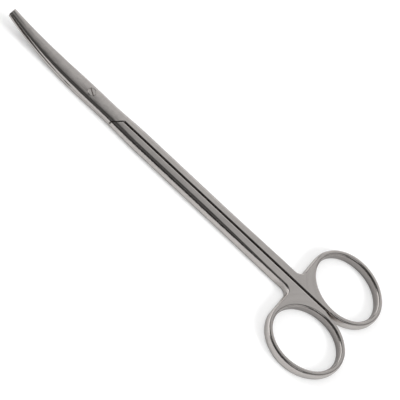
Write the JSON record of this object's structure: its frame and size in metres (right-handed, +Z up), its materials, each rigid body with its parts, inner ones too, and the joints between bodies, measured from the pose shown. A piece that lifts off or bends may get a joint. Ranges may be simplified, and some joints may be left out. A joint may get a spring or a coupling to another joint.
{
  "type": "dissecting scissors",
  "caption": "Slender surgical dissecting scissors with short blades curved upwards, a screwed lap joint, long straight shanks and oval finger rings, shown closed.",
  "frame": {"origin": "on the pivot's axis, at the flat underside of the joint, which lies on the table", "axes": "+X along the closed scissors to the blade tips, +Y to the finger ring of the lower arm, +Z up along the pivot screw to its slotted head"},
  "size_m": [0.1774, 0.057, 0.0076],
  "materials": {
    "upper_arm": "satin ground stainless steel",
    "lower_arm": "satin ground stainless steel",
    "pivot_screw": "turned and ground stainless steel"
  },
  "bodies": {
    "lower": {"lower_arm": "lower_arm", "pivot_screw": "pivot_screw"},
    "upper": {"upper_arm": "upper_arm"}
  },
  "joints": [
    {"name": "pivot", "type": "hinge", "parent": "lower", "child": "upper", "pos_m": [0, 0, 0.00345], "axis": [0, 0, 1], "range_deg": [0, 150]}
  ]
}
